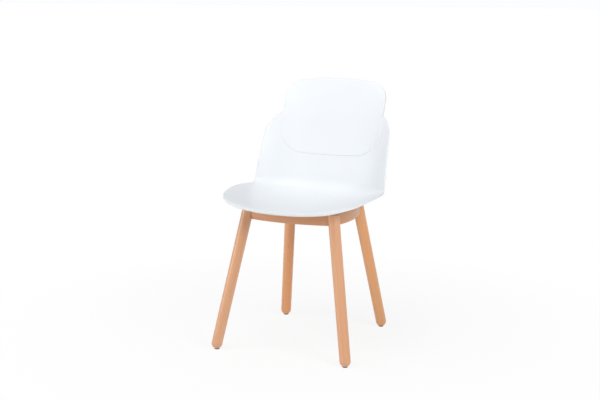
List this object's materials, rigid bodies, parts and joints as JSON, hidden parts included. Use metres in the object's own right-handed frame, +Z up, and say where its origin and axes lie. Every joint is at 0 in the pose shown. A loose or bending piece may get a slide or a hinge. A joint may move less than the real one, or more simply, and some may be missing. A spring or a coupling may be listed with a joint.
{
  "type": "shell chair",
  "caption": "Moulded plastic shell chair: a wide wrap-around seat and back with a narrower head tab, on a splayed round-legged beech frame with bowed rails.",
  "frame": {"origin": "on the floor, in the middle of the footprint (centre of the bounding box in plan, lowest point in height)", "axes": "+Z up; the sitter faces -Y; +X is towards the sitter's left"},
  "size_m": [0.4844, 0.492, 0.811],
  "materials": {
    "shell_plastic": "cool white moulded plastic, satin, very fine grain",
    "beech": "light pinkish beech, satin clear lacquer, fine lengthwise grain",
    "block_wood": "plain sawn beech, unlacquered",
    "dowel_wood": "plain beech dowel",
    "glide_plastic": "dark grey nylon",
    "screw_steel": "zinc plated steel",
    "bolt_steel": "zinc plated steel",
    "washer_steel": "zinc plated steel",
    "spacer_rubber": "black soft rubber",
    "insert_brass": "turned brass"
  },
  "bodies": {
    "root": {"seat_shell": "shell_plastic", "front_left_leg": "beech", "front_right_leg": "beech", "rear_left_leg": "beech", "rear_right_leg": "beech", "front_rail": "beech", "rear_rail": "beech", "left_rail": "beech", "right_rail": "beech", "front_left_corner_block": "block_wood", "front_right_corner_block": "block_wood", "rear_left_corner_block": "block_wood", "rear_right_corner_block": "block_wood", "front_left_glide": "glide_plastic", "front_right_glide": "glide_plastic", "rear_left_glide": "glide_plastic", "rear_right_glide": "glide_plastic", "rail_dowels": "dowel_wood", "corner_block_screws": "screw_steel", "shell_bolts": "bolt_steel", "shell_bolt_washers": "washer_steel", "shell_spacers": "spacer_rubber", "threaded_inserts": "insert_brass"}
  },
  "joints": []
}
